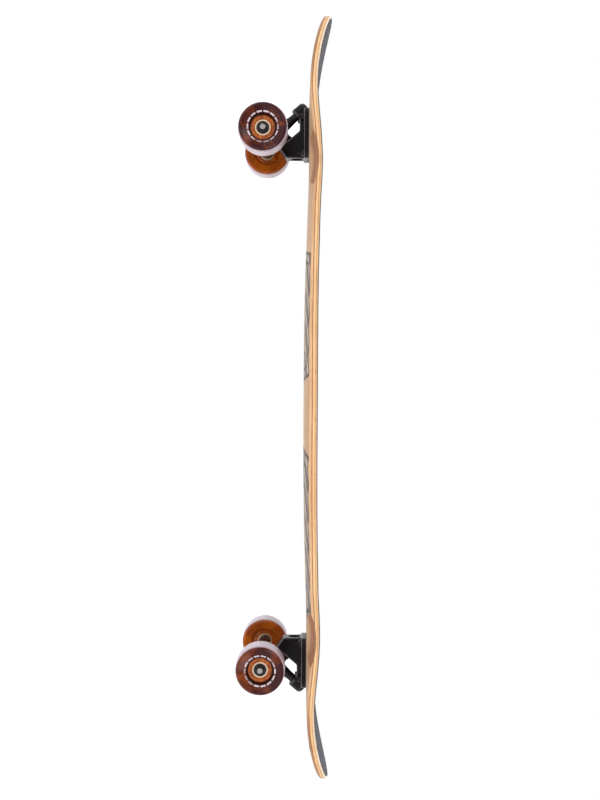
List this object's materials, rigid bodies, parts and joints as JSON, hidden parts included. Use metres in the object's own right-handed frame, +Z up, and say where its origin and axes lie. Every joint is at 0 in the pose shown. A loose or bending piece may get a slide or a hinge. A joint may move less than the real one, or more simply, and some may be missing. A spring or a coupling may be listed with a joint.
{
  "type": "longboard skateboard",
  "caption": "Twin-tip longboard skateboard with a laminated maple deck, raised ends, leaning sprung trucks and urethane wheels on ball bearings.",
  "frame": {"origin": "on the floor under the middle of the deck, between the four wheels", "axes": "+X along the deck towards the nose, +Y to the rider's left, +Z up"},
  "size_m": [1.131, 0.252, 0.1331],
  "materials": {
    "maple_ply": "sealed maple veneer, edge on",
    "cross_ply": "cross-grain maple veneer, darker edge",
    "printed_veneer": "clear-coated maple with a plain slate-grey print",
    "grip": "gritty slate-grey grip tape",
    "truck_casting": "cast, satin black coat",
    "dark_steel": "black oxide",
    "steel": "zinc plated",
    "bearing_steel": "ground and polished",
    "shield": "black seal",
    "bushing": "cast urethane, satin",
    "urethane": "translucent amber-brown urethane with a ground pale tread",
    "core": "amber moulded core"
  },
  "bodies": {
    "board": {"deck_bottom_veneer": "printed_veneer", "deck_lower_face_ply": "maple_ply", "deck_lower_cross_ply": "cross_ply", "deck_core_ply": "maple_ply", "deck_upper_cross_ply": "cross_ply", "deck_upper_face_ply": "maple_ply", "deck_top_veneer": "maple_ply", "grip_tape": "grip", "front_base_plate": "truck_casting", "front_pivot_cup": "bushing", "front_kingpin": "dark_steel", "front_kingpin_nut": "dark_steel", "front_boardside_bushing": "bushing", "front_roadside_bushing": "bushing", "front_bushing_washers": "dark_steel", "front_mounting_bolts": "dark_steel", "front_mounting_nuts": "steel", "rear_base_plate": "truck_casting", "rear_pivot_cup": "bushing", "rear_kingpin": "dark_steel", "rear_kingpin_nut": "dark_steel", "rear_boardside_bushing": "bushing", "rear_roadside_bushing": "bushing", "rear_bushing_washers": "dark_steel", "rear_mounting_bolts": "dark_steel", "rear_mounting_nuts": "steel"},
    "front_hanger_body": {"front_hanger": "truck_casting", "front_axle": "steel", "front_axle_washers": "steel", "front_axle_nuts": "steel", "front_bearing_spacers": "steel", "front_left_bearing_inner_rings": "bearing_steel", "front_right_bearing_inner_rings": "bearing_steel"},
    "front_left_wheel": {"front_left_wheel_tyre": "urethane", "front_left_wheel_core": "core", "front_left_bearing_outer_rings": "bearing_steel", "front_left_bearing_shields": "shield"},
    "front_left_ball_sets": {"front_left_bearing_balls": "bearing_steel"},
    "front_right_wheel": {"front_right_wheel_tyre": "urethane", "front_right_wheel_core": "core", "front_right_bearing_outer_rings": "bearing_steel", "front_right_bearing_shields": "shield"},
    "front_right_ball_sets": {"front_right_bearing_balls": "bearing_steel"},
    "rear_hanger_body": {"rear_hanger": "truck_casting", "rear_axle": "steel", "rear_axle_washers": "steel", "rear_axle_nuts": "steel", "rear_bearing_spacers": "steel", "rear_left_bearing_inner_rings": "bearing_steel", "rear_right_bearing_inner_rings": "bearing_steel"},
    "rear_left_wheel": {"rear_left_wheel_tyre": "urethane", "rear_left_wheel_core": "core", "rear_left_bearing_outer_rings": "bearing_steel", "rear_left_bearing_shields": "shield"},
    "rear_left_ball_sets": {"rear_left_bearing_balls": "bearing_steel"},
    "rear_right_wheel": {"rear_right_wheel_tyre": "urethane", "rear_right_wheel_core": "core", "rear_right_bearing_outer_rings": "bearing_steel", "rear_right_bearing_shields": "shield"},
    "rear_right_ball_sets": {"rear_right_bearing_balls": "bearing_steel"}
  },
  "joints": [
    {"name": "front_truck_steer", "type": "hinge", "parent": "board", "child": "front_hanger_body", "pos_m": [0.39532, 0, 0.05147], "axis": [0.6428, 0, 0.766], "range_deg": [-20, 20], "stiffness_Nm_per_rad": 60, "deforming": ["front_boardside_bushing", "front_roadside_bushing"]},
    {"name": "front_left_wheel_spin", "type": "hinge", "parent": "front_hanger_body", "child": "front_left_wheel", "pos_m": [0.3815, 0.103, 0.035], "axis": [0, 1, 0], "continuous": true},
    {"name": "front_left_ball_orbit", "type": "hinge", "parent": "front_hanger_body", "child": "front_left_ball_sets", "pos_m": [0.3815, 0.103, 0.035], "axis": [0, 1, 0], "continuous": true},
    {"name": "front_right_wheel_spin", "type": "hinge", "parent": "front_hanger_body", "child": "front_right_wheel", "pos_m": [0.3815, -0.103, 0.035], "axis": [0, 1, 0], "continuous": true},
    {"name": "front_right_ball_orbit", "type": "hinge", "parent": "front_hanger_body", "child": "front_right_ball_sets", "pos_m": [0.3815, -0.103, 0.035], "axis": [0, 1, 0], "continuous": true},
    {"name": "rear_truck_steer", "type": "hinge", "parent": "board", "child": "rear_hanger_body", "pos_m": [-0.39532, 0, 0.05147], "axis": [-0.6428, 0, 0.766], "range_deg": [-20, 20], "stiffness_Nm_per_rad": 60, "deforming": ["rear_boardside_bushing", "rear_roadside_bushing"]},
    {"name": "rear_left_wheel_spin", "type": "hinge", "parent": "rear_hanger_body", "child": "rear_left_wheel", "pos_m": [-0.3815, 0.103, 0.035], "axis": [0, 1, 0], "continuous": true},
    {"name": "rear_left_ball_orbit", "type": "hinge", "parent": "rear_hanger_body", "child": "rear_left_ball_sets", "pos_m": [-0.3815, 0.103, 0.035], "axis": [0, 1, 0], "continuous": true},
    {"name": "rear_right_wheel_spin", "type": "hinge", "parent": "rear_hanger_body", "child": "rear_right_wheel", "pos_m": [-0.3815, -0.103, 0.035], "axis": [0, 1, 0], "continuous": true},
    {"name": "rear_right_ball_orbit", "type": "hinge", "parent": "rear_hanger_body", "child": "rear_right_ball_sets", "pos_m": [-0.3815, -0.103, 0.035], "axis": [0, 1, 0], "continuous": true}
  ],
  "couplings": [
    {"joint": "front_left_ball_orbit", "follows": "front_left_wheel_spin", "ratio": 0.632},
    {"joint": "front_right_ball_orbit", "follows": "front_right_wheel_spin", "ratio": 0.632},
    {"joint": "rear_left_ball_orbit", "follows": "rear_left_wheel_spin", "ratio": 0.632},
    {"joint": "rear_right_ball_orbit", "follows": "rear_right_wheel_spin", "ratio": 0.632}
  ]
}
